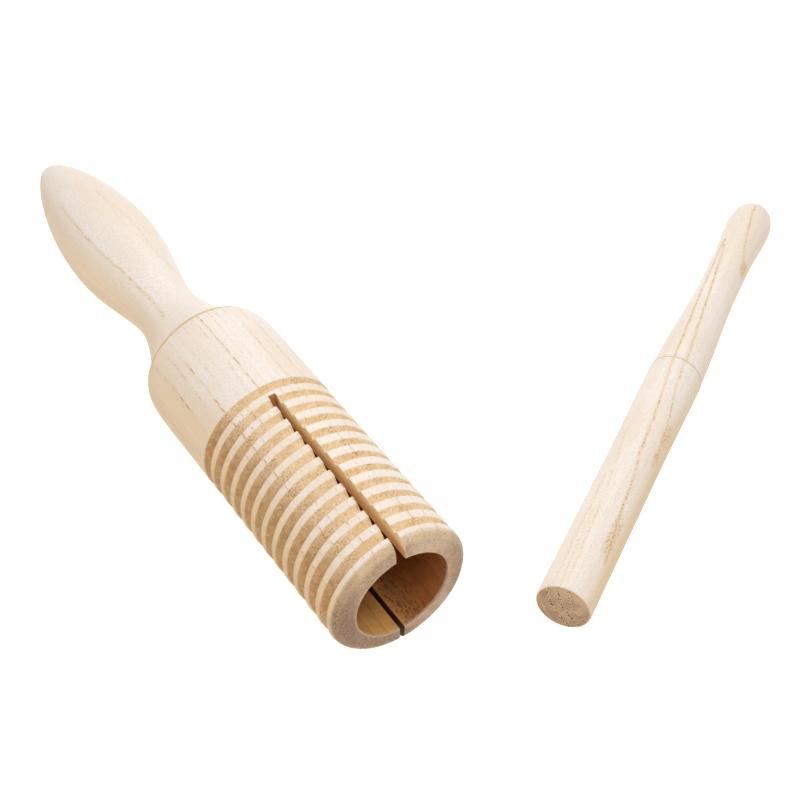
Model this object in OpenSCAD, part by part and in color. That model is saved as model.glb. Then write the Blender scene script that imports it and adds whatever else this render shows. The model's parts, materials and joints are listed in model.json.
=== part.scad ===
// Guiro with a turned handle, and its beater.
// X runs to the player's right, Y from the open mouth to the handle's tip, Z up.
// The origin is the centre of the bore at the mouth; both pieces lie on the plane z = -barrel_r.

/* [Barrel] */
// Radius of the barrel over its ribs
barrel_r = 20; // [18:0.5:24]
// Length of the barrel, from the mouth to the handle's base
barrel_len = 98.5; // [94:0.5:110]
// Radius of the sound bore
bore_r = 13.5; // [10:0.1:15]
// Depth of the sound bore, from the mouth
bore_depth = 66; // [62:1:70]
// Radius that rounds the outer edge of the mouth
mouth_round = 3.7; // [1:0.1:3.7]
// Length over which the closed end rounds down to the handle's base
shoulder_len = 8.5; // [3:0.5:10]

/* [Ribs] */
// Number of grooves cut round the barrel
groove_count = 12; // [4:1:13]
// Distance from the mouth to the first groove
first_groove = 3.7; // [3.7:0.1:6]
// Distance from one groove to the next
rib_pitch = 5.22; // [4.5:0.02:5.4]
// Width of a groove at the barrel's surface
groove_w = 3.1; // [2:0.1:3.5]
// Depth of a groove
groove_depth = 1.4; // [0.5:0.05:1.6]
// Length of the groove's steep side, which faces the handle
steep_side = 1.2; // [0.3:0.1:1.5]
// How much the sanded rib between two grooves climbs towards the handle
rib_rise = 0.25; // [0:0.05:0.4]

/* [Saw slot] */
// Width of the upper slot at its closed end
slot_w = 2; // [1:0.1:4]
// Width of the upper slot at the mouth, where the two halves have sprung open
slot_mouth_w = 2.6; // [1:0.1:4]
// Lean of the upper slot from upright; below 0, it leans away from the beater
slot_lean = -5.5; // [-10:0.5:10]
// Width of the lower slot
lower_slot_w = 1.3; // [1:0.1:4]
// Lean of the lower slot, measured in the same sense
lower_slot_lean = -2.5; // [-10:0.5:10]
// Length of both slots, from the mouth
slot_len = 60; // [20:1:60]

/* [Handle] */
// Radius of the handle's base, where it meets the barrel
base_r = 18.7; // [17:0.1:19.5]
// Radius of the neck
neck_r = 9.3; // [8:0.1:11]
// Distance from the handle's base to the neck
neck_at = 23.5; // [16:0.5:30]
// Largest radius of the grip
grip_r = 13.9; // [12:0.1:16]
// Distance from the handle's base to the grip's fullest part
grip_at = 57.5; // [45:0.5:65]
// Length of the handle outside the barrel
handle_len = 104; // [90:1:120]
// How much narrower than an ellipse the grip grows towards its tip
tip_taper = 0.22; // [0:0.02:0.5]
// Radius of the spigot that is glued into the barrel
spigot_r = 7; // [5:0.25:8]
// Length of the spigot
spigot_len = 18; // [10:1:18]

/* [Beater] */
// Radius of the striking end's straight part
beater_r = 7.6; // [7:0.1:8]
// Length of the straight part, from the flat end
straight_len = 57; // [40:1:60]
// Radius to which the striking end widens, at the turned step
step_r = 8; // [8:0.1:8.6]
// Distance from the flat end to the turned step
step_at = 95.5; // [70:0.5:100]
// Height of the turned step
step_h = 0.25; // [0.1:0.05:0.6]
// Radius at the waist, which the fingers hold
waist_r = 6.1; // [5:0.1:6.5]
// Distance from the flat end to the waist
waist_at = 142; // [130:1:150]
// Radius of the knob
knob_r = 7.1; // [6.6:0.1:7.6]
// Distance from the flat end to the knob's fullest part
knob_at = 173; // [165:1:175]
// Length of the beater
beater_len = 185; // [180:1:200]

/* [Beater's place on the table] */
// Sideways distance from the bore's axis to the centre of the flat end
beater_x = 38.6; // [34:0.1:60]
// Distance of the flat end's centre ahead of the mouth
beater_ahead = 16.8; // [0:0.1:30]
// Angle between the beater and the X axis
beater_turn = 31.8; // [0:0.1:60]

/* [Hidden] */
$fn = 96;
steps = 24;                    // points along each curved stretch of an outline
joint_line = 0.15;             // chamfer that leaves a fine line where handle and barrel meet
glue_gap = 0.05;               // radial room round the spigot
spigot_lead = 1;               // chamfer at the spigot's end
end_break = 0.4;               // broken edge of the beater's flat end
beyond = 1;                    // how far a cutting tool runs past the wood
floor_z = -barrel_r;
beater_tilt = atan((step_r - beater_r) / step_at); // it rests on its flat end's edge and its step
cove_bow = [1.3, 1.65];        // powers that flatten the middle of the cove below the neck
knob_taper = -0.2;             // below 0, so the knob's end is blunter than an ellipse
grip_lean = 0.87;              // where each swelling bends most, see swell()
knob_lean = 2;

// Outline points are [radius, distance along the axis].

// Curve that leaves p straight outwards or inwards and arrives at q along the axis
function leave_across(p, q, bow = [1, 1]) = [
    for (i = [0 : steps])
        let (t = 90 * i / steps)
        [p[0] + (q[0] - p[0]) * pow(sin(t), bow[1]), p[1] + (q[1] - p[1]) * (1 - pow(cos(t), bow[0]))]
];

// Quarter ellipse that leaves p along the axis and arrives at q straight inwards
function leave_along(p, q) = [
    for (i = [0 : steps])
        let (t = 90 * i / steps)
        [q[0] + (p[0] - q[0]) * cos(t), p[1] + (q[1] - p[1]) * sin(t)]
];

// Closed end of a turning: a half ellipse from p to the axis at y, drawn in by taper towards its tip
function egg_end(p, y, taper) = [
    for (i = [0 : steps])
        let (t = 90 * i / steps)
        [p[0] * cos(t) * (1 - taper * pow(sin(t), 2)), p[1] + (y - p[1]) * sin(t)]
];

// Curve from p to q that is parallel to the axis at both ends; a lean under 1 brings its bend nearer p
function swell(p, q, lean = 1) = [
    for (i = [0 : steps])
        let (u = i / steps, w = (1 - cos(180 * pow(u, lean))) / 2)
        [p[0] + (q[0] - p[0]) * w, p[1] + (q[1] - p[1]) * u]
];

// The three corners of one groove whose mouth-side edge is at y; the rib behind it starts rise lower
function groove(y, rise) = [
    [barrel_r, y],
    [barrel_r - groove_depth, y + steep_side],
    [barrel_r - rise, y + groove_w]
];

// A turned solid along +Y from its outline
module turned(outline) {
    rotate([-90, 0, 0]) rotate_extrude() polygon(outline);
}

// A straight hole along +Y from one station to another
module hole(r, y0, y1) {
    translate([0, y0, 0]) rotate([-90, 0, 0]) cylinder(r = r, h = y1 - y0);
}

// One saw cut from the bore upwards, w wide at its closed end and mouth_w wide at the mouth
module saw_cut(w, mouth_w) {
    end_w = mouth_w + (mouth_w - w) / slot_len * beyond;
    linear_extrude(height = barrel_r + beyond)
        polygon([[-end_w / 2, -beyond], [end_w / 2, -beyond], [w / 2, slot_len], [-w / 2, slot_len]]);
}

// Ribbed sound barrel, bored from the mouth and sawn through its top and bottom
module barrel() {
    last = groove_count - 1;
    grooves = [for (i = [0 : last]) each groove(first_groove + i * rib_pitch, i < last ? rib_rise : 0)];
    outline = concat(
        [[0, 0]],
        leave_across([barrel_r - mouth_round, 0], [barrel_r, mouth_round]),
        grooves,
        leave_along([barrel_r, barrel_len - shoulder_len], [base_r, barrel_len - joint_line]),
        [[base_r - joint_line, barrel_len], [0, barrel_len]]
    );
    color([0.91, 0.81, 0.64]) difference() {
        turned(outline);
        hole(bore_r, -beyond, bore_depth);
        hole(spigot_r + glue_gap, barrel_len - spigot_len - beyond, barrel_len + beyond);
        rotate([0, slot_lean, 0]) saw_cut(slot_w, slot_mouth_w);
        rotate([0, 180 + lower_slot_lean, 0]) saw_cut(lower_slot_w, lower_slot_w);
    }
}

// Turned handle with a spigot that is glued into the barrel's closed end
module handle() {
    outline = concat(
        [[0, -spigot_len], [spigot_r - spigot_lead, -spigot_len], [spigot_r, -spigot_len + spigot_lead]],
        [[spigot_r, 0], [base_r - joint_line, 0]],
        leave_across([base_r, joint_line], [neck_r, neck_at], cove_bow),
        swell([neck_r, neck_at], [grip_r, grip_at], grip_lean),
        egg_end([grip_r, grip_at], handle_len, tip_taper)
    );
    color([0.95, 0.90, 0.82]) translate([0, barrel_len, 0]) turned(outline);
}

// Loose beater, one turned stick with a long striking end, a waisted grip and a knob
module beater() {
    outline = concat(
        [[0, 0], [beater_r - end_break, 0], [beater_r, end_break], [beater_r, straight_len]],
        [[step_r, step_at]],
        swell([step_r - step_h, step_at], [waist_r, waist_at]),
        swell([waist_r, waist_at], [knob_r, knob_at], knob_lean),
        egg_end([knob_r, knob_at], beater_len, knob_taper)
    );
    color([0.96, 0.91, 0.84]) translate([beater_x, -beater_ahead, floor_z + beater_r])
        rotate([0, 0, beater_turn - 90]) rotate([beater_tilt, 0, 0]) turned(outline);
}

barrel();
handle();
beater();
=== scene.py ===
"""Looks of a wooden guiro and its beater: pale ring-porous hardwood, turned, sawn and lightly sanded.

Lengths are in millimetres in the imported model's frame, and each mesh is scaled to metres when it is made.
X runs to the player's right, Y from the open mouth to the handle's tip, and Z up.
An angle on a turning is measured in degrees from straight up towards +X.
"""

import itertools
import json
import math

import bmesh
import bpy
import numpy as np
from mathutils import Matrix, Vector


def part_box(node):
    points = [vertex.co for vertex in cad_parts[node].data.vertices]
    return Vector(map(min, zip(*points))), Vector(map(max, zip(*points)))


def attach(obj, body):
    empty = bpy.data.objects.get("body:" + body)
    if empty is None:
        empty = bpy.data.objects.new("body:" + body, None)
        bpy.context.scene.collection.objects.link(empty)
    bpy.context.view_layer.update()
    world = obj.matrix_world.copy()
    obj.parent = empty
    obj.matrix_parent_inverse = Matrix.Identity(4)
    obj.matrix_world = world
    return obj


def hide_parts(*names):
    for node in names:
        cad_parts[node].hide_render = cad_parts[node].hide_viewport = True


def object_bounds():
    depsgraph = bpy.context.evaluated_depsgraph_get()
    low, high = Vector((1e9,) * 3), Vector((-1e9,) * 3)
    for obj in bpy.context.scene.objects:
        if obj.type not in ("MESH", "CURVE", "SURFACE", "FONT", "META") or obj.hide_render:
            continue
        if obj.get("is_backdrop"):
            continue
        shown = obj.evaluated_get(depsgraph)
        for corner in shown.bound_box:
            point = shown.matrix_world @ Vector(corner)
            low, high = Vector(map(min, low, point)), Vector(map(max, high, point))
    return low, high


MM = 0.001

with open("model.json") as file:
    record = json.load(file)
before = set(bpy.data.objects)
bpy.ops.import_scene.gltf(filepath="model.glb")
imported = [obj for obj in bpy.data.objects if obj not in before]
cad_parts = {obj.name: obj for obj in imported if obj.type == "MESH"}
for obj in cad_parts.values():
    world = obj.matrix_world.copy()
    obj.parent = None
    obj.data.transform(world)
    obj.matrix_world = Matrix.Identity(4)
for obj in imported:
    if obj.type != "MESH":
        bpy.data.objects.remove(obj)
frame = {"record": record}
CAD_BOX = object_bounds()

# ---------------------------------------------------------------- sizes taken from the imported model

BARREL_LO, BARREL_HI = (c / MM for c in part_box("barrel"))
HANDLE_LO, HANDLE_HI = (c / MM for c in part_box("handle"))
BARREL_R = (BARREL_HI.z - BARREL_LO.z) / 2
BARREL_LEN = BARREL_HI.y
SOCKET_END = HANDLE_LO.y
TIP = HANDLE_HI.y
FLOOR_Z = BARREL_LO.z
MOUNTS = {m["name"]: m for m in frame["record"]["mounts"]}
SHANK_LEAD = 0.5           # the beater's straight shank starts this far from its flat end


def beater_place():
    """Turn and place of the beater, which is made along Y from its flat end's centre."""
    shank = MOUNTS["beater_shank"]
    forward = -Vector(shank["axis"]).normalized()
    right = forward.cross(Vector((0, 0, 1))).normalized()
    place = Matrix((right, forward, right.cross(forward))).transposed().to_4x4()
    place.translation = Vector(shank["pos_m"]) - forward * (shank["dims"]["length_mm"] / 2 + SHANK_LEAD) * MM
    return place


BEATER_PLACE = beater_place()

# ---------------------------------------------------------------- shape of the barrel

BORE_R = 13.5
BORE_DEPTH = 66.0
MOUTH_ROUND = 3.7
SHOULDER_LEN = 8.5
BASE_R = 18.7
JOINT_LINE = 0.15
SOCKET_R = 7.05
GROOVES = 12
FIRST_GROOVE = 3.7
RIB_PITCH = 5.22
GROOVE_W = 3.1
GROOVE_DEPTH = 1.4
STEEP_SIDE = 1.2           # the groove's side that faces the handle
RIB_RISE = 0.25            # each rib climbs this much towards the handle
GROOVE_SWING = 0.4         # grooves are cut this much wider on the left than at the top
SLOT_LEN = 60.0
SAW_EDGE = 0.13            # the saw's edge is worn to a tiny bevel
SAW_CHIP = 1.15            # the saw tore the grooves this much deeper along the upper slot's left edge
UPPER_SLOT = {"angle": -5.5, "width": 2.0, "mouth_width": 2.6}
LOWER_SLOT = {"angle": 177.5, "width": 1.3, "mouth_width": 1.3}
HALF_COLUMNS = 146         # steps round each half of the barrel
UPPER_COLUMNS = 6          # steps across each slot, where the wood is whole
LOWER_COLUMNS = 4
SLOT_END_STEPS = 5         # steps up each slot's closed end

# ---------------------------------------------------------------- shape of the handle and the beater

NECK_R, NECK_AT = 9.3, 23.5
GRIP_R, GRIP_AT, GRIP_LEAN = 13.9, 57.5, 0.87
TIP_TAPER = 0.22
COVE_BOW = (1.3, 1.65)
SPIGOT_R = 7.0

BEATER_R, STRAIGHT_LEN = 7.6, 57.0
STEP_R, STEP_AT, STEP_H = 8.0, 95.5, 0.25
WAIST_R, WAIST_AT = 6.1, 142.0
KNOB_R, KNOB_AT, KNOB_LEAN = 7.1, 173.0, 2.0
BEATER_LEN = 185.0
KNOB_TAPER = -0.2


# ---------------------------------------------------------------- outlines, as points (radius, y)

def leave_across(p, q, bow=(1, 1), n=20):
    """Curve that leaves p straight outwards or inwards and arrives at q along the axis."""
    t = np.linspace(0, math.pi / 2, n + 1)
    r = p[0] + (q[0] - p[0]) * np.sin(t) ** bow[1]
    y = p[1] + (q[1] - p[1]) * (1 - np.abs(np.cos(t)) ** bow[0])
    return list(zip(r, y))


def leave_along(p, q, n=16):
    """Quarter ellipse that leaves p along the axis and arrives at q straight inwards."""
    t = np.linspace(0, math.pi / 2, n + 1)
    return list(zip(q[0] + (p[0] - q[0]) * np.cos(t), p[1] + (q[1] - p[1]) * np.sin(t)))


def egg_end(p, y, taper, n=40):
    """Half ellipse from p to the axis at y, drawn in by taper towards its tip."""
    t = np.linspace(0, math.pi / 2, n + 1)
    r = p[0] * np.abs(np.cos(t)) * (1 - taper * np.sin(t) ** 2)
    return list(zip(r, p[1] + (y - p[1]) * np.sin(t)))


def swell(p, q, lean=1.0, n=40):
    """Curve from p to q that is parallel to the axis at both ends; with a lean under 1 it bends nearer p."""
    u = np.linspace(0, 1, n + 1)
    w = (1 - np.cos(math.pi * u ** lean)) / 2
    return list(zip(p[0] + (q[0] - p[0]) * w, p[1] + (q[1] - p[1]) * u))


def straight(p, q, n):
    """n steps from p to q, both ends included."""
    return [(p[0] + (q[0] - p[0]) * i / n, p[1] + (q[1] - p[1]) * i / n) for i in range(n + 1)]


# ---------------------------------------------------------------- smooth repeatable unevenness

def lattice(cell, seed):
    """Repeatable value from 0 to 1 for each whole-number lattice point."""
    n = cell[..., 0] * 374761393 + cell[..., 1] * 668265263 + cell[..., 2] * 1103515245 + seed * 974634777
    n = ((n ^ (n >> 13)) * 1274126177) & 0xFFFFFFFF
    return ((n ^ (n >> 16)) & 0xFFFF) / 65535.0


def unevenness(points, size, seed=0):
    """Smooth noise from -1 to 1 at points, with lumps of the given size along each axis."""
    q = np.asarray(points, float) / np.asarray(size, float)
    base = np.floor(q).astype(np.int64)
    t = q - base
    t = t * t * (3 - 2 * t)
    total = 0
    for corner in itertools.product((0, 1), repeat=3):
        side = np.array(corner)
        weight = np.prod(np.where(side == 1, t, 1 - t), axis=-1)
        total = total + weight * lattice(base + side, seed)
    return 2 * total - 1


def round_axis(radius, y, angle):
    """Points (x, y, z) at that radius and angle round the Y axis."""
    return np.stack([radius * np.sin(angle), y + 0 * angle, radius * np.cos(angle)], axis=-1)


# ---------------------------------------------------------------- mesh building

def make_piece(name, points, faces, marks, sharp=38):
    """A mesh object in metres, with one float attribute for each list in marks."""
    mesh = bpy.data.meshes.new(name)
    mesh.from_pydata((np.asarray(points) * MM).tolist(), [], faces)
    for mark, values in marks.items():
        attribute = mesh.attributes.new(mark, "FLOAT", "POINT")
        attribute.data.foreach_set("value", np.asarray(values, np.float32))
    solid = bmesh.new()
    solid.from_mesh(mesh)
    bmesh.ops.recalc_face_normals(solid, faces=solid.faces)
    solid.to_mesh(mesh)
    solid.free()
    mesh.shade_smooth()
    mesh.set_sharp_from_angle(angle=math.radians(sharp))
    mesh.update()
    piece = bpy.data.objects.new(name, mesh)
    bpy.context.scene.collection.objects.link(piece)
    return piece


def compact(points, faces, marks):
    """Drops the points that no face uses."""
    used = np.zeros(len(points), bool)
    for face in faces:
        used[list(face)] = True
    new = np.cumsum(used) - 1
    faces = [tuple(int(new[i]) for i in face) for face in faces]
    return points[used], faces, {k: v[used] for k, v in marks.items()}


def grid_faces(rows, columns, is_open=lambda row, column: False):
    """Faces of a grid whose rows are rings, with a tip at each end, apart from its open cells.

    The first tip is point 0, then come the rings' points, row by row, and the other tip is the last point.
    """
    def at(row, column):
        return 1 + row * columns + column % columns

    far_tip = 1 + rows * columns
    faces = [(0, at(0, c), at(0, c + 1)) for c in range(columns)]
    for row in range(rows - 1):
        for c in range(columns):
            if not is_open(row, c):
                faces.append((at(row, c), at(row + 1, c), at(row + 1, c + 1), at(row, c + 1)))
    return faces + [(far_tip, at(rows - 1, c + 1), at(rows - 1, c)) for c in range(columns)]


def turning(name, outline, columns, uneven, marked):
    """A closed turning along Y. The outline runs from the axis to the axis.

    uneven(points, y) gives how much wood is missing at each point, and marked(radius, y) the marks.
    """
    angle = np.arange(columns) * 2 * math.pi / columns
    rows = outline[1:-1]
    rings = []
    marks = {k: [v] for k, v in marked(*outline[0]).items()}
    for radius, y in rows:
        less = uneven(round_axis(radius, y, angle), y)
        rings.append(round_axis(radius - less, y, angle))
        for k, v in marked(radius, y).items():
            marks[k] += [v] * columns
    points = np.concatenate([[[0, outline[0][1], 0]], *rings, [[0, outline[-1][1], 0]]])
    for k, v in marked(*outline[-1]).items():
        marks[k].append(v)
    return make_piece(name, points, grid_faces(len(rows), columns), marks)


# ---------------------------------------------------------------- the barrel

MARKS = ("groove", "bore", "end", "seam")       # what each of the grid's points says about its surface


def groove_rows(start, rise):
    """One groove with softened corners, as rows (radius, y, groove mark, swing).

    The rib behind it starts rise lower than full height, and swing is how far a point follows GROOVE_SWING.
    """
    end = start + GROOVE_W
    low, back = BARREL_R - GROOVE_DEPTH, BARREL_R - rise
    rows = [
        (BARREL_R, start - 0.14, 0, 0),
        (BARREL_R - 0.05, start - 0.02, 0.25, 0),
        (BARREL_R - 0.20, start + 0.12, 1, 0),
    ]
    rows += [(BARREL_R - GROOVE_DEPTH * share, start + STEEP_SIDE * share, 1, 0) for share in (0.36, 0.66)]
    rows += [(low + 0.11, start + STEEP_SIDE - 0.11, 1, 0), (low + 0.05, start + STEEP_SIDE + 0.06, 1, 0)]
    for share in (0.2, 0.45, 0.7, 0.9):
        y = start + STEEP_SIDE + (GROOVE_W - STEEP_SIDE) * share
        rows.append((low + (back - low) * share + 0.01, y, 1, share))
    rows += [(back - 0.045, end - 0.02, 0.35, 1), (back, end + 0.12, 0, 1)]
    return rows


def barrel_rows():
    """Rows of the barrel's outline, from the bore's blind end round the mouth to the socket's end."""
    rows = []

    def add(radius, y, **marks):
        plain = dict.fromkeys(MARKS + ("wander", "swing"), 0.0)
        rows.append({"r": radius, "y": y} | plain | marks)

    for radius in (3.5, 7.0, 10.5, 13.0):
        add(radius, BORE_DEPTH, bore=1, end=1)
    add(BORE_R, BORE_DEPTH - 0.15, bore=1)
    for y in (65.3, 63.5, 61.8, SLOT_LEN + SAW_EDGE):
        add(BORE_R, y, bore=1)
    for y in np.linspace(SLOT_LEN - 1.4, 1.0, 34):
        add(BORE_R, y, bore=1)
    add(BORE_R, 0.30, bore=0.6)
    add(BORE_R + 0.08, 0.09, bore=0, end=1)
    for radius in np.linspace(BORE_R + 0.28, BARREL_R - MOUTH_ROUND - 0.1, 5):
        add(radius, 0.0, end=1)
    rounding = leave_across((BARREL_R - MOUTH_ROUND, 0), (BARREL_R, MOUTH_ROUND), n=16)
    for i, (radius, y) in enumerate(rounding[1:-1]):
        add(radius, y, end=float(np.clip((12 - i) / 2.5, 0, 1)))
    slot_row_done = False
    for i in range(GROOVES):
        start = FIRST_GROOVE + i * RIB_PITCH
        rise = RIB_RISE if i < GROOVES - 1 else 0
        for radius, y, mark, swing in groove_rows(start, rise):
            add(radius, y, groove=mark, wander=1.0, swing=swing)
        end = start + GROOVE_W
        if i == GROOVES - 1:
            break
        for share in (0.24, 0.5, 0.78):
            y = end + (RIB_PITCH - GROOVE_W) * share
            if not slot_row_done and y > SLOT_LEN:
                y = SLOT_LEN + SAW_EDGE
                slot_row_done = True
            add(BARREL_R - rise * (1 - share), y)
    for y in np.linspace(end + 0.7, BARREL_LEN - SHOULDER_LEN - 1, 14):
        add(BARREL_R, y)
    shoulder = leave_along((BARREL_R, BARREL_LEN - SHOULDER_LEN), (BASE_R, BARREL_LEN - JOINT_LINE), n=18)
    for radius, y in shoulder:
        add(radius, y, seam=float(np.clip((y - BARREL_LEN + 1.15) / 0.4, 0, 1)))
    add(BASE_R - JOINT_LINE, BARREL_LEN, seam=1)
    for radius in (13.0, SOCKET_R):
        add(radius, BARREL_LEN, end=1)
    for y in (BARREL_LEN - 9, SOCKET_END):
        add(SOCKET_R, y, bore=1)
    add(3.0, SOCKET_END, bore=1)
    return rows


def half_width(slot, y):
    """Half the slot's width."""
    toward_mouth = np.clip(1 - y / SLOT_LEN, 0, 1)
    return (slot["width"] + (slot["mouth_width"] - slot["width"]) * toward_mouth) / 2


def half_angle(slot, radius, y):
    """Half the slot's angle at that radius, with its bevel, in radians."""
    return math.asin((half_width(slot, y) + SAW_EDGE) / max(radius, BORE_R))


def barrel_angles(radius, y):
    """Angles of all columns at that radius: right half, lower slot, left half, upper slot."""
    upper, lower = math.radians(UPPER_SLOT["angle"]), math.radians(LOWER_SLOT["angle"])
    a, b = half_angle(UPPER_SLOT, radius, y), half_angle(LOWER_SLOT, radius, y)
    right = np.linspace(upper + a, lower - b, HALF_COLUMNS + 1)
    under = np.linspace(lower - b, lower + b, LOWER_COLUMNS + 1)[1:-1]
    left = np.linspace(lower + b, upper - a + 2 * math.pi, HALF_COLUMNS + 1)
    over = np.linspace(upper - a, upper + a, UPPER_COLUMNS + 1)[1:-1] + 2 * math.pi
    return np.concatenate([right, under, left, over])


def left_of_slot(row, angle):
    """How far the row's points lie to the left of the upper slot, in mm; points right of it count as far."""
    edge = math.radians(UPPER_SLOT["angle"]) + 2 * math.pi - half_angle(UPPER_SLOT, row["r"], row["y"])
    away = (edge - angle) * row["r"]
    return np.where(away > -1e-6, away, 99.0)


def worked_surface(row, angle):
    """The row's points after lathe, cutter and sandpaper: rib edges wander and groove floors vary."""
    radius, y = row["r"], row["y"] + 0 * angle
    at = round_axis(BARREL_R, row["y"], angle)
    if row["wander"]:
        y = y + 0.09 * unevenness(at, (5, 2.6, 5), 3) + 0.05 * unevenness(at, (1.2, 1.3, 1.2), 4)
        y = y - GROOVE_SWING * row["swing"] * np.sin(angle + math.radians(17))
    missing = 0 * angle
    if row["groove"] > 0.9:
        depth = (BARREL_R - radius) / GROOVE_DEPTH
        chipped = SAW_CHIP * depth * (1 + 0.4 * unevenness(at, (3, 2.2, 3), 11)) * (y < SLOT_LEN)
        missing = missing + chipped * np.exp(-left_of_slot(row, angle) / 0.5)
        torn = np.clip(unevenness(at, (5, 9, 5), 8) + 0.15, 0, 1)
        missing = missing + 0.05 * unevenness(at, (4, 0.9, 4), 5)
        missing = missing + 0.07 * torn * unevenness(at, (0.8, 0.45, 0.8), 6)
    elif not row["bore"] and not row["end"]:
        missing = missing + 0.035 * (1 + unevenness(at, (9, 12, 9), 7)) * (row["y"] > 1)
    if row["end"] and not row["bore"]:
        y = y + 0.05 * (1 + unevenness(at + radius, (1.8, 5, 1.8), 9)) * row["end"]
    if row["bore"]:
        missing = missing - 0.04 * (1 + unevenness(at, (3, 20, 3), 10))
    return round_axis(1, 0, angle) * (radius - missing)[:, None] + np.stack([0 * y, y, 0 * y], axis=-1)


class SlotCutter:
    """Closes the barrel's open grid along one slot: two flat bevelled walls and a flat closed end."""

    def __init__(self, slot, edge, steps):
        """edge is the column beside the first wall, and steps tells how many cells lie across the slot."""
        lean = math.radians(slot["angle"])
        self.slot, self.edge, self.steps = slot, edge, steps
        self.along = np.array([math.sin(lean), 0, math.cos(lean)])        # outwards, in the saw's plane
        self.across = np.array([math.cos(lean), 0, -math.sin(lean)])      # from one wall to the other

    def place(self, out, aside, y):
        """Point on the saw's path; aside runs from -1 on one wall to 1 on the other."""
        return self.along * out + self.across * aside * half_width(self.slot, y) + np.array([0, y, 0])

    def wall(self, chain):
        """Outline (outwards, y) of a wall: its edge in the grid, moved in by the bevel."""
        out, y = chain @ self.along, chain[:, 1]
        step_out, step_y = np.gradient(out), np.gradient(y)
        length = np.hypot(step_out, step_y) + 1e-9
        inner_out = out - SAW_EDGE * step_y / length
        inner_y = np.minimum(y + SAW_EDGE * step_out / length, SLOT_LEN)
        inner_out[0], inner_out[-1] = out[0] + SAW_EDGE, out[-1] - SAW_EDGE
        inner_y[0] = inner_y[-1] = SLOT_LEN
        return inner_out, inner_y

    def faces(self, grid, first, last, new_point):
        """Faces that close the slot; first and last are the grid's rows at its closed end."""
        columns, steps = grid.shape[1], self.steps

        def at(row, column):
            return 1 + row * columns + column % columns

        faces, lines, signs = [], [], []
        for side, column in enumerate((self.edge, self.edge + steps)):
            chain = grid[first:last + 1, column % columns]
            outline = self.wall(chain)
            signs.append(np.sign((chain @ self.across).mean()))
            lines.append([new_point(self.place(out, signs[side], y)) for out, y in zip(*outline)])
            if side == 0:
                low, high = outline[0][0], outline[0][-1]
            for i, (a, b) in enumerate(itertools.pairwise(lines[side])):
                quad = (at(first + i, column), at(first + i + 1, column), b, a)
                faces.append(quad if side else quad[::-1])
        end = [[None] * (steps + 1) for _ in range(SLOT_END_STEPS + 1)]
        end[0][0], end[0][-1] = lines[0][0], lines[1][0]
        end[-1][0], end[-1][-1] = lines[0][-1], lines[1][-1]
        for j, i in itertools.product(range(SLOT_END_STEPS + 1), range(steps + 1)):
            if end[j][i] is None:
                aside = signs[0] + (signs[1] - signs[0]) * i / steps
                end[j][i] = new_point(self.place(low + (high - low) * j / SLOT_END_STEPS, aside, SLOT_LEN))
        for j, i in itertools.product(range(SLOT_END_STEPS), range(steps)):
            faces.append((end[j][i], end[j + 1][i], end[j + 1][i + 1], end[j][i + 1]))
        for i in range(steps):
            a, b = self.edge + i, self.edge + i + 1
            faces.append((at(first, a), at(first, b), end[0][i + 1], end[0][i]))
            faces.append((end[-1][i], end[-1][i + 1], at(last, b), at(last, a)))
        for side, line in enumerate(lines):
            ring = line + [end[j][steps * side] for j in range(SLOT_END_STEPS - 1, 0, -1)]
            faces.append(tuple(ring if side else ring[::-1]))
        return faces


def build_barrel():
    """Ribbed, bored and sawn barrel as one closed grid."""
    rows = barrel_rows()
    at_slot_end = [i for i, row in enumerate(rows) if abs(row["y"] - SLOT_LEN - SAW_EDGE) < 1e-6]
    first, last = at_slot_end[0], at_slot_end[-1]
    columns = 2 * HALF_COLUMNS + LOWER_COLUMNS + UPPER_COLUMNS
    grid = np.stack([worked_surface(row, barrel_angles(row["r"], row["y"])) for row in rows])
    points = [[0, BORE_DEPTH, 0], *grid.reshape(-1, 3), [0, SOCKET_END, 0]]
    marks = {}
    for k in MARKS:
        marks[k] = [rows[0][k]] + [row[k] for row in rows for _ in range(columns)] + [rows[-1][k]]
    marks["sawn"] = [0.0] * len(points)

    def new_point(p):
        points.append(p)
        for k in marks:
            marks[k].append(float(k == "sawn"))
        return len(points) - 1

    cutters = (SlotCutter(LOWER_SLOT, HALF_COLUMNS, LOWER_COLUMNS),
               SlotCutter(UPPER_SLOT, columns - UPPER_COLUMNS, UPPER_COLUMNS))
    in_slot = {cutter.edge + i for cutter in cutters for i in range(cutter.steps)}
    faces = grid_faces(len(rows), columns, lambda row, column: first <= row < last and column in in_slot)
    for cutter in cutters:
        faces += cutter.faces(grid, first, last, new_point)
    marks = {k: np.array(v) for k, v in marks.items()}
    points, faces, marks = compact(np.array(points, float), faces, marks)
    return make_piece("guiro_barrel", points, faces, marks)


# ---------------------------------------------------------------- the handle and the beater

def build_handle():
    """Turned handle, with its spigot inside the barrel."""
    base = BARREL_LEN
    outline = [(0, SOCKET_END), (SPIGOT_R - 1, SOCKET_END), (SPIGOT_R, SOCKET_END + 1), (SPIGOT_R, base)]
    outline += [(12.0, base), (BASE_R - JOINT_LINE - 0.02, base)]
    outline += leave_across((BASE_R, base + JOINT_LINE), (NECK_R, base + NECK_AT), COVE_BOW, 44)
    outline += swell((NECK_R, base + NECK_AT), (GRIP_R, base + GRIP_AT), GRIP_LEAN, 40)[1:]
    outline += egg_end((GRIP_R, base + GRIP_AT), TIP, TIP_TAPER, 60)[1:]

    def uneven(at, y):
        wear = np.clip((y - base - 1) / 6, 0, 1) * np.clip((TIP - y) / 8, 0, 1)
        return wear * 0.06 * (1 + unevenness(at, (14, 26, 14), 21))

    def marked(radius, y):
        near = abs(y - base) < 0.45 and radius > BASE_R - 1.2
        return {"seam": 1.0 if near else 0.0, "end": 0.0}

    return turning("guiro_handle", outline, 192, uneven, marked)


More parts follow.
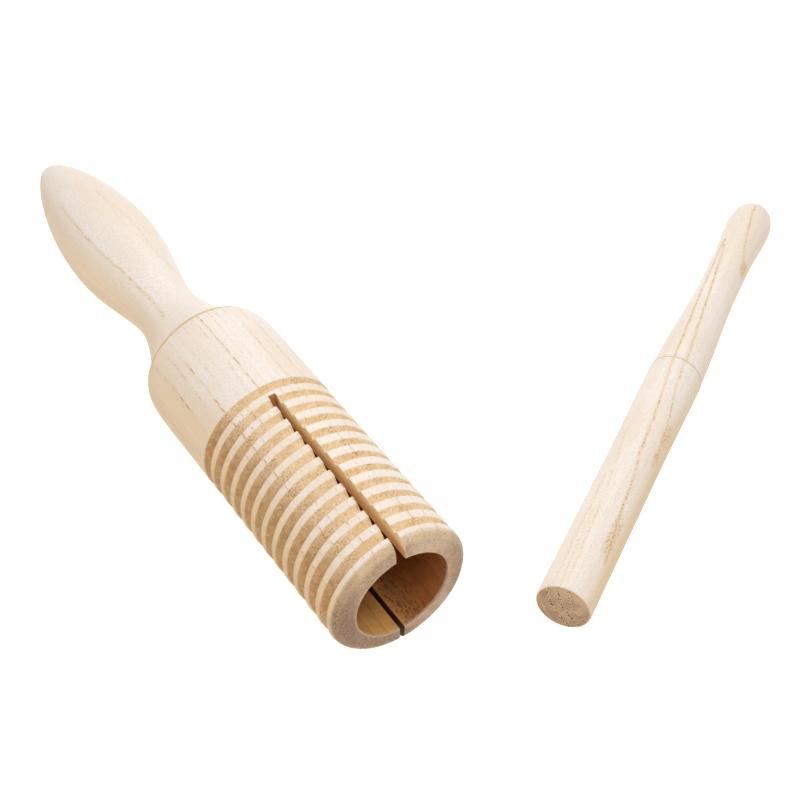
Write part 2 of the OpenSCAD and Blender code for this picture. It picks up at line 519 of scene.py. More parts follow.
def build_beater():
    """Turned beater, made with Y along it from the flat end and then laid in its place."""
    outline = [(r, 0.05) for r in (0, 1.5, 3.0, 4.5, 6.0, 6.9)]
    outline += [(7.15, 0.06), (7.35, 0.14), (7.50, 0.29), (7.57, 0.55)]
    outline += straight((BEATER_R, 3.0), (BEATER_R, STRAIGHT_LEN), 20)
    outline += straight((BEATER_R, STRAIGHT_LEN), (STEP_R - 0.01, STEP_AT - 0.5), 14)[1:]
    outline += [(STEP_R - 0.005, STEP_AT - 0.3), (STEP_R, STEP_AT - 0.12), (STEP_R - 0.06, STEP_AT - 0.03)]
    outline += [(STEP_R - 0.36, STEP_AT + 0.03), (STEP_R - 0.33, STEP_AT + 0.14)]
    outline += swell((STEP_R - STEP_H, STEP_AT + 0.22), (WAIST_R, WAIST_AT), 1.0, 30)
    outline += swell((WAIST_R, WAIST_AT), (KNOB_R, KNOB_AT), KNOB_LEAN, 26)[1:]
    outline += egg_end((KNOB_R, KNOB_AT), BEATER_LEN, KNOB_TAPER, 30)[1:]

    def uneven(at, y):
        wear = np.clip((y - 2) / 5, 0, 1) * np.clip((BEATER_LEN - y) / 6, 0, 1)
        return wear * 0.04 * (1 + unevenness(at, (9, 22, 9), 31))

    def marked(radius, y):
        # painted shadow along the lathe step, where the thicker shank meets the thinner neck
        line = math.exp(-((y - STEP_AT + 0.12) / 0.2) ** 2)
        return {"seam": line, "end": 1.0 if y < 0.1 else 0.0}

    beater = turning("beater_stick", outline, 128, uneven, marked)
    beater.data.transform(BEATER_PLACE)
    return beater


# ---------------------------------------------------------------- node helpers

class Graph:
    """Short way to write a material's nodes."""

    def __init__(self, name):
        self.material = bpy.data.materials.new(name)
        self.material.use_nodes = True
        self.nodes, self.links = self.material.node_tree.nodes, self.material.node_tree.links
        self.nodes.clear()

    def node(self, kind, values=(), **settings):
        """A node whose sockets, by name or number, get those values or are linked to those outputs."""
        made = self.nodes.new(kind)
        for key, value in settings.items():
            setattr(made, key, value)
        for key, value in dict(values).items():
            if isinstance(value, bpy.types.NodeSocket):
                self.links.new(value, made.inputs[key])
            else:
                made.inputs[key].default_value = value
        return made

    def math(self, operation, *values):
        return self.node("ShaderNodeMath", enumerate(values), operation=operation).outputs[0]

    def add(self, a, b):
        return self.math("ADD", a, b)

    def times(self, first, *others):
        for other in others:
            first = self.math("MULTIPLY", first, other)
        return first

    def scaled(self, at, size):
        """at divided by a lump size along each axis."""
        values = {0: at, 1: tuple(1 / s for s in size)}
        return self.node("ShaderNodeVectorMath", values, operation="MULTIPLY").outputs[0]

    def shifted(self, at, by):
        return self.node("ShaderNodeVectorMath", {0: at, 1: by}, operation="ADD").outputs[0]

    def noise(self, at, size, detail=2.0, roughness=0.5):
        """Noise from 0 to 1, centred on 0.5, with lumps of that size in mm."""
        values = {"Vector": self.scaled(at, size), "Scale": 1.0, "Detail": detail, "Roughness": roughness}
        return self.node("ShaderNodeTexNoise", values).outputs["Fac"]

    def cells(self, at, size, randomness=1.0):
        """Distance from the middle of the nearest of many scattered cells, as a share of their size in mm."""
        values = {"Vector": self.scaled(at, size), "Scale": 1.0, "Randomness": randomness}
        return self.node("ShaderNodeTexVoronoi", values).outputs["Distance"]

    def ease(self, value, low, high, to_low=0.0, to_high=1.0):
        """Smooth step of value from low to high; low may be above high."""
        if low > high:
            low, high, to_low, to_high = high, low, to_high, to_low
        values = {"Value": value, "From Min": low, "From Max": high, "To Min": to_low, "To Max": to_high}
        return self.node("ShaderNodeMapRange", values, interpolation_type="SMOOTHSTEP").outputs[0]

    def blend(self, share, a, b):
        """Colour a with that share of colour b over it."""
        return self.node("ShaderNodeMix", {0: share, 6: a, 7: b}, data_type="RGBA").outputs[2]

    def mark(self, name):
        """The mesh's float attribute of that name."""
        return self.node("ShaderNodeAttribute", attribute_name=name).outputs["Fac"]

    def split(self, at):
        return tuple(self.node("ShaderNodeSeparateXYZ", {0: at}).outputs)

    def off_axis(self, at):
        """Distance from the Y axis."""
        x, _, z = self.split(at)
        return self.math("SQRT", self.add(self.times(x, x), self.times(z, z)))


def srgb(r, g, b):
    """A colour given as screen values from 0 to 255."""
    def linear(v):
        v /= 255
        return v / 12.92 if v <= 0.04045 else ((v + 0.055) / 1.055) ** 2.4
    return (linear(r), linear(g), linear(b), 1.0)


# ---------------------------------------------------------------- wood

# sanded wood
CREAM = srgb(239, 231, 225)
WARM = srgb(234, 219, 204)
GRIT = srgb(216, 196, 170)
SHADED = srgb(224, 194, 149)          # painted shade: the side of each piece that faces down and away from the lamps is painted yellower
GOLD = srgb(226, 198, 148)
PORE = srgb(176, 132, 80)
SEAM = srgb(212, 180, 116)
KNOT = srgb(222, 172, 98)

# the barrel's sawn grooves
TAN = srgb(237, 214, 177)
DARK_TAN = srgb(222, 188, 140)
PALE_TAN = srgb(238, 204, 146)
# painted shade: darker tan for the undersides and for the grooves' lower left, where the lamps reach less
UNDERSIDE_SHADE = srgb(176, 132, 80)
# painted shade, broken up by mottle, on the grooves' lower side
MOTTLED_SHADE = srgb(152, 110, 56)
GROOVE_STREAK = srgb(190, 148, 98)
GROOVE_SPECK = srgb(196, 152, 100)
TORN_DARK = srgb(176, 116, 72)
TORN_LIGHT = srgb(246, 222, 182)

# end grain round the mouth
END_GRAIN = srgb(178, 148, 118)
END_PINK = srgb(192, 162, 140)
END_GOLD = srgb(188, 148, 98)
END_TAN = srgb(214, 174, 122)
END_DARK = srgb(126, 98, 78)
END_LIGHT = srgb(214, 190, 154)
END_BAND = srgb(222, 194, 154)
END_PALE = srgb(228, 208, 180)
END_LOW = srgb(128, 100, 78)

# the drilled bore, painted lighter on the left as light coming in through the mouth, and darker, redder on
# the right as shade
BORED = srgb(220, 168, 98)
BORED_SHADE = srgb(150, 92, 46)
BORED_DARK = srgb(104, 60, 28)

# walls of the saw slots, with painted light high on the walls and painted shade deeper in
SAWN_LIT = srgb(255, 234, 188)
SAWN_DEEP_SHADE = srgb(238, 174, 106)
SAWN_STREAK = srgb(226, 170, 108)
SAWN_PALE = srgb(246, 200, 124)
SAWN_INNER_SHADE = srgb(170, 112, 62)
# the slot walls turn darker towards their closed end
SLOT_END_DARK = srgb(198, 122, 62)
# painted shade and shadow for the lower slot, which lies against the floor
LOWER_SLOT_SHADE = srgb(112, 60, 26)
LOWER_SLOT_SHADOW = srgb(62, 28, 10)

# grain lines, patches and the flat end of the handle and the beater
HANDLE_LINE = srgb(204, 172, 112)
BEATER_LINE = srgb(178, 140, 78)
PATCH = srgb(222, 190, 138)
PATCH_FLECK = srgb(184, 144, 82)
BEATER_KNOT = srgb(228, 188, 122)
BEATER_KNOT_FLECK = srgb(192, 142, 78)
# painted shadow of the lathe step on the beater
STEP_SHADOW = srgb(176, 132, 68)
FLAT_END = srgb(196, 168, 136)
FLAT_END_SPECK = srgb(154, 124, 98)
FLAT_END_RED = srgb(150, 112, 88)
FLAT_END_LOW = srgb(150, 116, 84)
FLAT_END_TOP = srgb(214, 182, 140)
# painted highlight on the rim of the beater's flat end
FLAT_END_RIM_HIGHLIGHT = srgb(220, 188, 140)
FLAT_END_RING = srgb(206, 174, 124)
FLAT_END_PORE = srgb(80, 50, 30)
FLAT_END_FLECK = srgb(234, 212, 172)

# Places on the wood, in mm; those of the beater are measured from its flat end's centre
TORN_STRIPS = ((-12.0, 2.8), (6.2, 2.2))                 # x and half width of the torn strips in the grooves
FIBRE = (0.35, 9.0, 0.35)                                # size of the wood's fibres
BARREL_PITH = (400.0, 0.0)                               # x and z: so far off that the rings are nearly flat
GROOVE_KNOT = ((3.1, 25.9, 19.0), (1.3, 1.5, 1.3))       # centre and half sizes, as for the next ones
BEATER_KNOT_SPOT = ((4.9, 149.0, 3.7), (2.4, 5.0, 2.4))
BEATER_PATCHES = (
    ((5.7, 66.0, 4.9), (2.1, 7.5, 2.1)),
    ((5.8, 57.0, 4.9), (1.7, 5.0, 1.7)),
    ((4.7, 23.0, 5.9), (2.3, 11.0, 2.3)),
)

# Grain lines that show on the turnings: strength, and path as (angle in degrees, y)
HANDLE_LINES = (
    (1.0, ((-32, 111), (-37, 133), (-40, 140), (-44, 156), (-45, 172))),
    (0.5, ((25, 135), (16, 152), (5, 170))),
)
BEATER_LINES = (
    (1.0, ((-11, 96), (-19, 114), (-32, 130), (-41, 149), (-44, 159))),
    (1.0, ((15, 96), (1, 118), (-10, 133), (-26, 151), (-40, 160))),
    (0.8, ((43, 149.5), (39, 151), (21, 158), (5, 170), (0, 179))),
    (0.7, ((12, 95), (20, 82), (36, 72), (43, 65), (52, 57))),
    (0.95, ((-11, 95), (2, 75), (13, 53), (23, 45), (32, 29), (50, 14))),
    (0.3, ((-40, 63), (-29, 53), (-17, 38))),
    (0.35, ((-36, 44), (-32, 34), (-34, 22), (-29, 1))),
    (0.3, ((-24, 30), (-20, 14), (-14, 1))),
    (0.4, ((-15, 31), (-10, 22), (-4, 1))),
)


def grain(g, at, pith, spacing, first, vessel, wander):
    """Growth rings round a pith line along Y, in mm, which wander from true circles.

    Returns masks: dashes (open vessels of the given size, which draw each ring), gold (the soft tint
    beside them), late (the ring's dense end), stray (single vessels elsewhere) and shown (where rings
    stand out); and two distances: reach, from the pith, and past, from the start of the ring.
    """
    x, _, z = g.split(at)
    slow = g.noise(at, (22, 70, 22), 1.0)
    quick = g.noise(g.shifted(at, (31, 7, 53)), (5, 26, 5), 2.0)
    dx, dz = g.add(x, -pith[0]), g.add(z, -pith[1])
    reach = g.math("SQRT", g.add(g.times(dx, dx), g.times(dz, dz)))
    reach = g.add(reach, g.times(g.add(slow, -0.5), 3.4 * wander))
    reach = g.add(reach, g.times(g.add(quick, -0.5), 1.3 * wander))
    past = g.times(g.math("FRACT", g.times(g.add(reach, -first), 1 / spacing)), spacing)
    line = g.times(g.ease(past, 0.0, 0.04), g.ease(past, 0.36, 0.2))
    gold = g.times(g.ease(past, 0.0, 0.1), g.ease(past, 1.3, 0.2))
    late = g.ease(past, spacing * 0.55, spacing * 0.98)
    vessels = g.cells(at, vessel)
    fine = g.cells(g.shifted(at, (5.3, 2.1, 8.7)), (0.6, 4.4, 0.6))
    here = g.ease(g.noise(g.shifted(at, (71, 3, 9)), (7, 22, 7), 2.0), 0.40, 0.60, 0.12, 1.0)
    return {"dashes": g.times(g.ease(vessels, 0.56, 0.34), line), "gold": gold, "late": late,
            "stray": g.times(g.ease(fine, 0.16, 0.08), here), "shown": here, "reach": reach, "past": past}


def spots(g, at, places):
    """Mask of soft ragged spots, each given by its centre and its half sizes."""
    ragged = g.noise(at, (1.0, 2.6, 1.0), 2.0)
    mask = 0.0
    for centre, size in places:
        away = g.scaled(g.shifted(at, tuple(-c for c in centre)), size)
        length = g.node("ShaderNodeVectorMath", {0: away}, operation="LENGTH").outputs["Value"]
        mask = g.math("MAXIMUM", mask, g.ease(g.add(length, g.times(ragged, 0.9)), 1.5, 0.7))
    return mask


def drawn_lines(g, at, lines):
    """Masks of thin grain lines on a turning, and of the soft tint beside them.

    Each line is its strength and its path, as points (angle in degrees, y).
    """
    x, y, z = g.split(at)
    radius = g.off_axis(at)
    wobble = g.times(g.add(g.noise(at, (40, 3.5, 40), 2.0), -0.5), 0.10)
    angle = g.add(g.math("ARCTAN2", x, z), wobble)
    thin, soft = 0.0, 0.0
    for strength, path in lines:
        nearest = 99.0
        for p, q in zip(path, path[1:]):
            turn = {"Value": y, "From Min": p[1], "From Max": q[1],
                    "To Min": math.radians(p[0]), "To Max": math.radians(q[0])}
            along = {"Value": y, "From Min": p[1], "From Max": q[1], "To Min": p[1], "To Max": q[1]}
            aside = g.add(angle, g.times(g.node("ShaderNodeMapRange", turn).outputs[0], -1))
            past = g.add(y, g.times(g.node("ShaderNodeMapRange", along).outputs[0], -1))
            away = g.add(g.times(g.math("ABSOLUTE", aside), radius), g.math("ABSOLUTE", past))
            nearest = g.math("MINIMUM", nearest, away)
        thin = g.math("MAXIMUM", thin, g.ease(nearest, 0.34, 0.14, 0.0, strength))
        soft = g.math("MAXIMUM", soft, g.ease(nearest, 0.9, 0.2, 0.0, strength))
    return thin, soft


def shade(g, colour, roughness, height):
    """Ends a material: a dull wood surface with a bump from height in mm."""
    bump = g.node("ShaderNodeBump", {"Strength": 0.6, "Distance": MM, "Height": height})
    shader = g.node("ShaderNodeBsdfPrincipled", {"Base Color": colour, "Roughness": roughness,
                                                "Specular IOR Level": 0.15, "Normal": bump.outputs[0]})
    out = g.node("ShaderNodeOutputMaterial")
    g.links.new(shader.outputs[0], out.inputs["Surface"])
    return g.material


def lowness(g, at, side):
    """From -1 to 1, the more the surface of a turning faces down and to the side, away from the lamps; it
    places the painted shade.
    """
    x, _, z = g.split(at)
    low = g.add(g.times(x, 0.9 * side), g.times(z, -0.44))
    return g.math("DIVIDE", low, g.off_axis(at))


def sanded(g, at, rings, fibre, drawn, low, shade_strength):
    """Colour of sanded wood. drawn tells how strongly the rings show.

    Painted shade: the wood is painted yellower, and darker tan on the very underside, where low is high, on
    the side that faces down and away from the lamps; the last argument tells by how much.
    """
    patch = g.noise(g.shifted(at, (3, 41, 17)), (12, 46, 12), 3.0)
    colour = g.blend(g.ease(patch, 0.40, 0.70, 0.0, 0.75), CREAM, WARM)
    # painted shade: yellower on the side facing down and away from the lamps, and darker tan on the underside
    # that the floor's glow would light
    colour = g.blend(g.times(g.ease(low, 0.14, 0.78), shade_strength), colour, SHADED)
    colour = g.blend(g.times(g.ease(low, 0.72, 0.95, 0.0, 0.4), shade_strength), colour, UNDERSIDE_SHADE)
    grit = g.noise(g.shifted(at, (6, 2, 4)), (0.4, 0.7, 0.4), 2.0, 0.7)
    colour = g.blend(g.ease(fibre, 0.48, 0.72, 0.0, 0.5), colour, WARM)
    colour = g.blend(g.ease(grit, 0.46, 0.62, 0.0, 0.34), colour, GRIT)
    colour = g.blend(g.times(rings["late"], 0.22), colour, WARM)
    colour = g.blend(g.times(rings["gold"], drawn, 0.38), colour, GOLD)
    colour = g.blend(g.times(rings["dashes"], drawn, 0.9), colour, PORE)
    return g.blend(g.times(rings["stray"], 0.35), colour, PORE)


def smooth_height(g, rings, fibre):
    """Height of sanded wood in mm: raised fibres and sunk vessels."""
    return g.add(g.times(fibre, 0.03), g.times(rings["dashes"], -0.04))


def object_mm(g, place=None):
    """Object coordinates in mm; with a place, measured in the frame of a piece that lies there."""
    at = g.node("ShaderNodeTexCoord").outputs["Object"]
    if place is not None:
        turn = place.to_3x3().to_euler().z
        at = g.shifted(at, tuple(-place.translation))
        turned = {"Vector": at, "Angle": -turn}
        at = g.node("ShaderNodeVectorRotate", turned, rotation_type="Z_AXIS").outputs[0]
    return g.node("ShaderNodeVectorMath", {0: at, 1: (1 / MM,) * 3}, operation="MULTIPLY").outputs[0]


def barrel_noises(g, at):
    """The noises that the barrel's surfaces share, by name."""
    return {
        "speck": g.noise(at, (0.36, 0.36, 0.36), 3.0, 0.65),
        "fibre": g.noise(at, FIBRE, 3.0, 0.6),
        "streak": g.noise(g.shifted(at, (2, 5, 8)), (0.5, 14, 0.5), 2.0),
        "mottle": g.noise(g.shifted(at, (4, 1, 6)), (1.6, 1.6, 1.6), 3.0, 0.6),
        "coarse": g.noise(g.shifted(at, (9, 9, 9)), (4, 3, 4), 2.0),
    }


def groove_wood(g, at, rings, noise, low):
    """Bare tan wood of the sawn grooves, with painted shade on the side that faces down and away from the
    lamps, and how torn it is: most where the rings run out at the surface.
    """
    x, _, z = g.split(at)
    colour = g.blend(g.ease(noise["coarse"], 0.34, 0.68, 0.0, 0.7), TAN, DARK_TAN)
    colour = g.blend(g.ease(noise["mottle"], 0.52, 0.72, 0.0, 0.4), colour, PALE_TAN)
    # painted shade: the grooves turn darker tan towards their lower left
    colour = g.blend(g.ease(low, -0.05, 0.78, 0.0, 0.82), colour, UNDERSIDE_SHADE)
    colour = g.blend(g.ease(noise["streak"], 0.5, 0.68, 0.0, 0.4), colour, GROOVE_STREAK)
    colour = g.blend(g.ease(noise["speck"], 0.50, 0.64, 0.0, 0.5), colour, GROOVE_SPECK)
    # painted shade on the lower side, broken up by the mottle
    mottled_shade = g.times(g.ease(low, 0.2, 0.6), g.ease(noise["mottle"], 0.44, 0.6))
    colour = g.blend(g.times(mottled_shade, 0.45), colour, MOTTLED_SHADE)
    torn = g.ease(low, 0.1, 0.5, 0.0, 0.35)
    for place, half in TORN_STRIPS:
        near = g.ease(g.math("ABSOLUTE", g.add(x, -place)), half, half * 0.3)
        torn = g.math("MAXIMUM", torn, g.times(near, g.ease(z, 2.0, 8.0)))
    torn = g.times(torn, g.ease(noise["coarse"], 0.34, 0.5, 0.25, 0.85))
    colour = g.blend(g.times(g.ease(noise["speck"], 0.53, 0.64), torn), colour, TORN_DARK)
    colour = g.blend(g.times(g.ease(noise["speck"], 0.47, 0.36), torn), colour, TORN_LIGHT)
    colour = g.blend(g.times(rings["dashes"], rings["shown"], 0.5), colour, TORN_DARK)
    knot = spots(g, at, [GROOVE_KNOT])
    return g.blend(g.times(knot, 0.8), colour, KNOT), torn


def mouth_wood(g, at, rings, noise):
    """End grain round the mouth, greyer and more open-pored at the lower left."""
    x, _, z = g.split(at)
    radius = g.off_axis(at)
    colour = g.blend(g.ease(noise["mottle"], 0.36, 0.64), END_GRAIN, END_PINK)
    band = g.blend(g.ease(x, -8.0, 4.0), END_BAND, END_PALE)
    colour = g.blend(g.ease(radius, 17.2, 19.0, 0.0, 0.85), colour, band)
    upper_right = g.times(g.ease(x, 0.0, 4.0), g.ease(z, 6.0, 14.0))
    colour = g.blend(g.times(upper_right, 0.4), colour, END_PALE)
    sanded_band = g.times(g.ease(radius, 17.9, 18.5), g.ease(radius, 19.4, 19.0))
    colour = g.blend(g.times(upper_right, sanded_band, 0.45), colour, END_TAN)
    colour = g.blend(g.times(rings["gold"], 0.2), colour, END_GOLD)
    low_left = g.ease(g.add(x, z), -6.0, -18.0)
    colour = g.blend(g.times(low_left, 0.42), colour, END_LOW)
    colour = g.blend(g.ease(x, -12.0, -16.0, 0.0, 0.45), colour, END_LOW)
    colour = g.blend(g.ease(x, 13.0, 17.0, 0.0, 0.3), colour, END_LOW)
    pores = g.times(g.ease(noise["speck"], 0.52, 0.62), g.add(0.36, g.times(low_left, 0.64)))
    open_grain = g.noise(g.shifted(at, (8, 8, 2)), (0.75, 0.9, 0.75), 2.0, 0.6)
    larger = g.times(g.ease(open_grain, 0.55, 0.66), g.add(0.2, g.times(low_left, 0.7)))
    colour = g.blend(g.math("MAXIMUM", pores, larger), colour, END_DARK)
    colour = g.blend(g.ease(noise["speck"], 0.42, 0.32, 0.0, 0.4), colour, END_LIGHT)
    inner_edge = g.times(g.ease(radius, 14.3, 13.7, 0.0, 0.5), g.ease(x, 11.0, 7.0))
    return g.blend(inner_edge, colour, END_LIGHT)


def bore_wood(g, at, rings, noise):
    """Drilled bore, painted lighter on the left and darker, redder on the right as light and shade through
    the mouth, with its vessels torn open beside the lower slot.
    """
    x, _, z = g.split(at)
    # painted light and shade: golden on the left, where light through the mouth falls, darker and redder on
    # the right
    colour = g.blend(g.ease(g.add(x, g.times(z, 0.5)), -12.0, 2.0), BORED, BORED_SHADE)
    colour = g.blend(g.ease(noise["streak"], 0.46, 0.7, 0.0, 0.14), colour, BORED_DARK)
    colour = g.blend(g.ease(noise["coarse"], 0.42, 0.62, 0.0, 0.18), colour, BORED_DARK)
    colour = g.blend(g.ease(g.noise(at, (1.2, 9, 1.2), 3.0), 0.5, 0.7, 0.0, 0.12), colour, BORED)
    colour = g.blend(g.times(rings["dashes"], 0.6), colour, BORED_DARK)
    torn = g.times(g.ease(x, 1.0, 2.5), g.ease(x, 8.0, 5.0))
    colour = g.blend(g.times(g.ease(noise["speck"], 0.56, 0.64), torn), colour, BORED_DARK)
    around = g.times(g.ease(x, 0.6, 2.0), g.ease(x, 11.0, 7.0))
    vessels = g.ease(g.cells(g.shifted(at, (6, 3, 1)), (0.6, 2.2, 0.6)), 0.42, 0.28)
    return g.blend(g.times(vessels, around, 0.7), colour, BORED_DARK)


def slot_wood(g, at, noise):
    """Walls of the saw slots: painted light high on the walls and painted shade deeper in, darker towards
    their closed end, and painted shade over the whole lower slot, which lies against the floor.
    """
    _, y, z = g.split(at)
    radius = g.off_axis(at)
    # painted light and shade: bright near the top of each wall, where the lamps barely reach into the slot,
    # darker deeper down
    colour = g.blend(g.ease(radius, 18.4, 16.2, 0.0, 0.6), SAWN_LIT, SAWN_DEEP_SHADE)
    colour = g.blend(g.ease(noise["streak"], 0.48, 0.7, 0.0, 0.25), colour, SAWN_STREAK)
    colour = g.blend(g.ease(noise["mottle"], 0.5, 0.7, 0.0, 0.25), colour, SAWN_PALE)
    # painted shade deep in the slot near the mouth
    inner_shade = g.times(g.ease(radius, 17.2, 15.0), g.ease(y, 14.0, 3.0, 0.0, 0.5))
    colour = g.blend(inner_shade, colour, SAWN_INNER_SHADE)
    # darker towards the slot's closed end
    colour = g.blend(g.ease(y, SLOT_LEN - 2.5, SLOT_LEN - 0.1, 0.0, 0.8), colour, SLOT_END_DARK)
    # painted shade over the lower slot, which lies against the floor, darkest near the mouth
    colour = g.blend(g.ease(z, 0.0, -2.0, 0.0, 0.94), colour, LOWER_SLOT_SHADE)
    return g.blend(g.times(g.ease(z, 0.0, -2.0), g.ease(y, 12.0, 2.0, 0.0, 0.7)), colour, LOWER_SLOT_SHADOW)


def barrel_wood():
    g = Graph("barrel_wood")
    at = object_mm(g)
    noise = barrel_noises(g, at)
    rings = grain(g, at, BARREL_PITH, spacing=4.66, first=2.96, vessel=(0.3, 2.4, 0.3), wander=0.5)
    faint = grain(g, at, BARREL_PITH, spacing=4.66, first=5.0, vessel=(0.28, 1.2, 0.28), wander=1.0)
    low = lowness(g, at, -1)
    # strength of the painted shade: full over the ribs, a little less on the smooth band
    shade_strength = g.ease(g.split(at)[1], 62.0, 66.0, 1.0, 0.78)
    colour = sanded(g, at, rings, noise["fibre"], rings["shown"], low, shade_strength)
    here = g.ease(g.noise(g.shifted(at, (7, 7, 7)), (3, 8, 3), 2.0), 0.46, 0.6)
    colour = g.blend(g.times(faint["gold"], 0.1), colour, GOLD)
    colour = g.blend(g.times(faint["dashes"], here, 0.42), colour, PORE)
    cut, torn = groove_wood(g, at, rings, noise, low)
    groove, end = g.mark("groove"), g.mark("end")
    colour = g.blend(groove, colour, cut)
    colour = g.blend(end, colour, mouth_wood(g, at, rings, noise))
    colour = g.blend(g.mark("bore"), colour, bore_wood(g, at, rings, noise))
    colour = g.blend(g.mark("sawn"), colour, slot_wood(g, at, noise))
    colour = g.blend(g.times(g.mark("seam"), 0.72), colour, SEAM)
    in_groove = g.times(groove, g.add(0.10, g.times(torn, 0.22)))
    rugged = g.times(noise["speck"], g.math("MAXIMUM", in_groove, g.times(end, 0.16)))
    height = g.add(smooth_height(g, rings, noise["fibre"]), rugged)
    return shade(g, colour, g.add(0.5, g.times(g.add(groove, end), 0.15)), height)


def handle_wood():
    g = Graph("handle_wood")
    at = object_mm(g)
    rings = grain(g, at, (-14.1, -5.7), spacing=8.2, first=8.0, vessel=(0.3, 3.0, 0.3), wander=0.4)
    fibre = g.noise(at, FIBRE, 3.0, 0.6)
    # the handle gets painted shade on its lower left side, at 0.68 strength
    colour = sanded(g, at, rings, fibre, 0.12, lowness(g, at, -1), 0.68)
    thin, soft = drawn_lines(g, at, HANDLE_LINES)
    gaps = g.ease(g.noise(at, (6, 4, 6), 1.0), 0.42, 0.56, 0.1, 1.0)
    dashes = g.ease(g.cells(at, (0.45, 1.2, 0.45)), 0.62, 0.36)
    flecks = g.ease(g.cells(g.shifted(at, (2, 6, 4)), (0.4, 1.2, 0.4)), 0.34, 0.2)
    colour = g.blend(g.times(soft, 0.24), colour, GOLD)
    colour = g.blend(g.times(soft, flecks, 0.45), colour, HANDLE_LINE)
    colour = g.blend(g.times(thin, dashes, gaps, 0.7), colour, HANDLE_LINE)
    colour = g.blend(g.times(g.mark("seam"), 0.72), colour, SEAM)
    return shade(g, colour, g.add(0.46, g.times(fibre, 0.1)), smooth_height(g, rings, fibre))


def flat_end_wood(g, at, rings):
    """End grain of the beater's flat end, crossed by rows of dark pores with pale flecks between them."""
    x, _, z = g.split(at)
    speck = g.noise(at, (0.3, 0.6, 0.3), 3.0, 0.65)
    broad = g.noise(g.shifted(at, (1, 0, 3)), (4.5, 9.0, 4.5), 2.0)
    leftward = g.add(x, g.times(z, 0.5))
    colour = g.blend(g.ease(speck, 0.4, 0.62, 0.0, 0.8), FLAT_END, FLAT_END_SPECK)
    colour = g.blend(g.ease(broad, 0.4, 0.6, 0.0, 0.5), colour, FLAT_END_RED)
    colour = g.blend(g.ease(leftward, 0.0, -7.0, 0.0, 0.45), colour, FLAT_END_LOW)
    colour = g.blend(g.ease(z, 2.0, 7.0, 0.0, 0.45), colour, FLAT_END_TOP)
    # painted highlight along the rim of the flat end, stronger on the left
    edge = g.times(g.ease(g.off_axis(at), 6.8, 7.3), g.ease(x, 3.0, -4.0, 0.25, 0.6))
    colour = g.blend(edge, colour, FLAT_END_RIM_HIGHLIGHT)
    row = g.times(g.ease(rings["past"], 0.0, 0.05), g.ease(rings["past"], 0.95, 0.7))
    row = g.times(row, g.ease(rings["reach"], 9.4, 9.8))
    colour = g.blend(g.times(row, 0.45), colour, FLAT_END_RING)
    pores = g.cells(g.shifted(at, (0.2, 0.0, 0.4)), (0.46, 9.0, 0.46), 0.5)
    dark = g.ease(leftward, -5.5, -3.5, 0.3, 1.0)
    colour = g.blend(g.times(g.ease(pores, 0.48, 0.38), row, dark), colour, FLAT_END_PORE)
    return g.blend(g.times(g.ease(pores, 0.62, 0.74), row, 0.5), colour, FLAT_END_FLECK)


def beater_wood():
    g = Graph("beater_wood")
    at = object_mm(g, BEATER_PLACE)
    rings = grain(g, at, (11.6, 7.2), spacing=2.87, first=1.77, vessel=(0.32, 0.9, 0.32), wander=0.3)
    fibre = g.noise(at, FIBRE, 3.0, 0.6)
    # strength of the painted shade: strong on the shank, weaker towards the knob
    shade_strength = g.ease(g.split(at)[1], 60.0, 120.0, 0.9, 0.4)
    colour = sanded(g, at, rings, fibre, 0.12, lowness(g, at, 1), shade_strength)
    thin, soft = drawn_lines(g, at, BEATER_LINES)
    gaps = g.ease(g.noise(at, (5, 6, 5), 1.0), 0.36, 0.56, 0.35, 1.0)
    dashes = g.ease(g.cells(at, (0.4, 0.8, 0.4)), 0.6, 0.34)
    colour = g.blend(g.times(soft, 0.42), colour, GOLD)
    colour = g.blend(g.times(thin, dashes, gaps, 0.8), colour, BEATER_LINE)
    flecks = g.ease(g.cells(g.shifted(at, (3, 0, 1)), (0.4, 1.3, 0.4)), 0.5, 0.25)
    patches = spots(g, at, BEATER_PATCHES)
    colour = g.blend(g.times(patches, 0.5), colour, PATCH)
    colour = g.blend(g.times(patches, flecks, 0.6), colour, PATCH_FLECK)
    knot = spots(g, at, [BEATER_KNOT_SPOT])
    colour = g.blend(g.times(knot, 0.6), colour, BEATER_KNOT)
    colour = g.blend(g.times(knot, flecks, 0.6), colour, BEATER_KNOT_FLECK)
    colour = g.blend(g.mark("end"), colour, flat_end_wood(g, at, rings))
    # painted shadow of the lathe step
    colour = g.blend(g.times(g.mark("seam"), 0.95), colour, STEP_SHADOW)
    return shade(g, colour, g.add(0.46, g.times(fibre, 0.1)), smooth_height(g, rings, fibre))


# ---------------------------------------------------------------- stage, lights and camera

FLOOR_HALF = 12.0          # metres from the floor's middle to its edge
FLOOR_GAP = 0.0002         # metres from the floor up to the wood


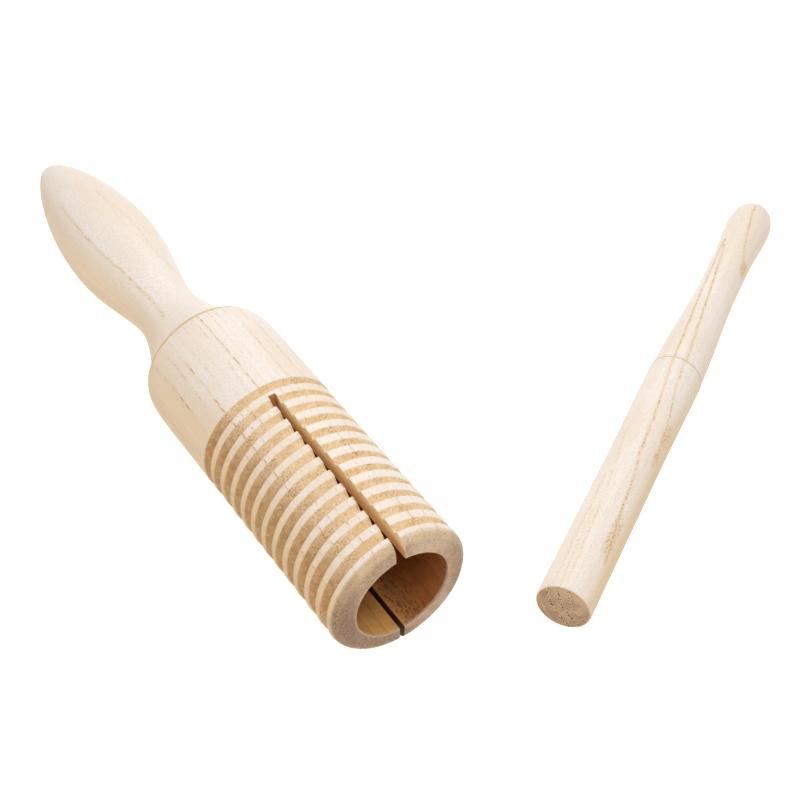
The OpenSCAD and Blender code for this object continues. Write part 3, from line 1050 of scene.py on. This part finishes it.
def build_stage():
    """A wide pale floor, self-lit so that shadows stay faint, with a painted shadow under the barrel's slot,
    where it neither glows nor reflects much.
    """
    mesh = bpy.data.meshes.new("studio_floor")
    half, z = FLOOR_HALF, FLOOR_Z * MM - FLOOR_GAP
    corners = [(-half, -half, z), (half, -half, z), (half, half, z), (-half, half, z)]
    mesh.from_pydata(corners, [], [(0, 1, 2, 3)])
    floor = bpy.data.objects.new("studio_floor", mesh)
    bpy.context.scene.collection.objects.link(floor)
    g = Graph("studio_floor")
    x, y, _ = g.split(object_mm(g))
    # painted shadow: a dark, unlit strip on the floor right under the barrel's lower slot
    under = g.times(g.ease(g.math("ABSOLUTE", x), 6.0, 3.0), g.ease(y, 4.5, 6.5), g.ease(y, 62.0, 60.0))
    colour = g.blend(under, (0.5, 0.5, 0.5, 1), (0.05, 0.025, 0.01, 1))
    glow = g.blend(under, (1, 0.99, 0.98, 1), (0, 0, 0, 1))
    paper = g.node("ShaderNodeBsdfPrincipled", {"Base Color": colour, "Roughness": 0.9,
                                               "Emission Color": glow, "Emission Strength": 0.82})
    out = g.node("ShaderNodeOutputMaterial")
    g.links.new(paper.outputs[0], out.inputs["Surface"])
    mesh.materials.append(g.material)
    floor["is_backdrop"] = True


def area_light(name, place, target, size, power, colour=(1, 1, 1)):
    """A square soft light at place, in mm, that faces target."""
    lamp = bpy.data.lights.new(name, "AREA")
    lamp.energy, lamp.size, lamp.color = power, size * MM, colour
    light = bpy.data.objects.new(name, lamp)
    light.location = Vector(place) * MM
    light.rotation_mode = "QUATERNION"
    light.rotation_quaternion = (Vector(target) - Vector(place)).to_track_quat("-Z", "Y")
    bpy.context.scene.collection.objects.link(light)


def build_lights():
    world = bpy.data.worlds.new("studio")
    world.use_nodes = True
    sky = world.node_tree.nodes["Background"]
    sky.inputs["Color"].default_value = (1.0, 0.945, 0.86, 1)
    sky.inputs["Strength"].default_value = 0.4
    bpy.context.scene.world = world
    area_light("key_light", (420, 480, 640), (60, 70, 0), 350, 3.25, (0.97, 0.985, 1.0))
    area_light("front_light", (-190, -230, 780), (20, 40, 0), 400, 3.65, (0.97, 0.985, 1.0))


def build_camera():
    """The photograph's viewing angle: from the front left, high up, with a slight roll."""
    eye = Vector((-153.8, -202.5, 312.7))
    aim = Vector((43.75, 65.92, -10.0))
    ahead = (aim - eye).normalized()
    right = Vector((0.829, -0.557, 0.047))
    right = (right - ahead * right.dot(ahead)).normalized()
    up = right.cross(ahead)
    lens = bpy.data.cameras.new("camera")
    lens.lens, lens.sensor_width = 73.2, 36.0
    lens.clip_start, lens.clip_end = 0.01, 20
    camera = bpy.data.objects.new("camera", lens)
    turn = Matrix((right, up, -ahead)).transposed().to_4x4()
    turn.translation = eye * MM
    camera.matrix_world = turn
    bpy.context.scene.collection.objects.link(camera)
    bpy.context.scene.camera = camera


# ---------------------------------------------------------------- assembly

barrel, handle, beater = build_barrel(), build_handle(), build_beater()
for piece, node, body, slot, material in (
    (barrel, "barrel", "guiro", "barrel_wood", barrel_wood()),
    (handle, "handle", "guiro", "handle_wood", handle_wood()),
    (beater, "beater", "beater", "beater_wood", beater_wood()),
):
    piece.data.materials.append(material)
    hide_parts(node)
    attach(piece, body)

build_stage()
build_lights()
build_camera()
bpy.context.scene.view_settings.view_transform = "Standard"

bpy.context.view_layer.update()
boxes = {"cad": CAD_BOX, "visual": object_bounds()}
{name: [list(corner) for corner in box] for name, box in boxes.items()}
